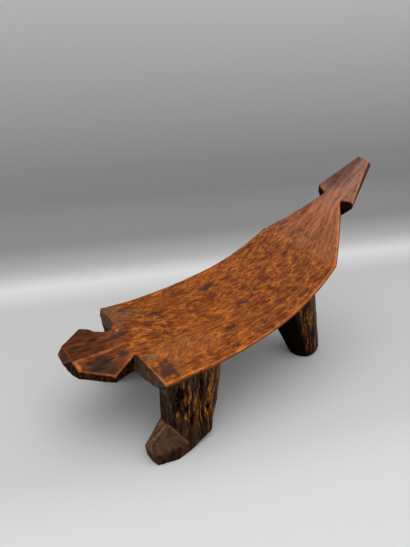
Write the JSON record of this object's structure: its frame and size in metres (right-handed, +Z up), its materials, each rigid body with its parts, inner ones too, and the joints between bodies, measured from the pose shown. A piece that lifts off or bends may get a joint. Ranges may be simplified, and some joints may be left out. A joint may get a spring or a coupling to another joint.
{
  "type": "carved wooden stool",
  "caption": "Low carved wooden stool in the form of a creature, with a faceted head, a sweeping seat, an arrow-headed tail, footed front legs and a raked rear leg.",
  "frame": {"origin": "on the floor, under the middle of the stool's overall length and width", "axes": "+X runs from the head to the tail, +Y to the creature's right, +Z up"},
  "size_m": [0.4294, 0.196, 0.2637],
  "materials": {
    "seat_wood": "waxed, adze-marked, worn orange on its ridges",
    "head_wood": "waxed, dark, worn orange along its edges",
    "tail_wood": "waxed, adze-marked",
    "leg_wood": "dark with golden streaks, half polished"
  },
  "bodies": {
    "root": {"seat": "seat_wood", "neck": "head_wood", "head": "head_wood", "tail": "tail_wood", "tail_arrow": "tail_wood", "front_leg_left": "leg_wood", "front_leg_right": "leg_wood", "front_foot_left": "leg_wood", "front_foot_right": "leg_wood", "rear_leg": "leg_wood"}
  },
  "joints": []
}
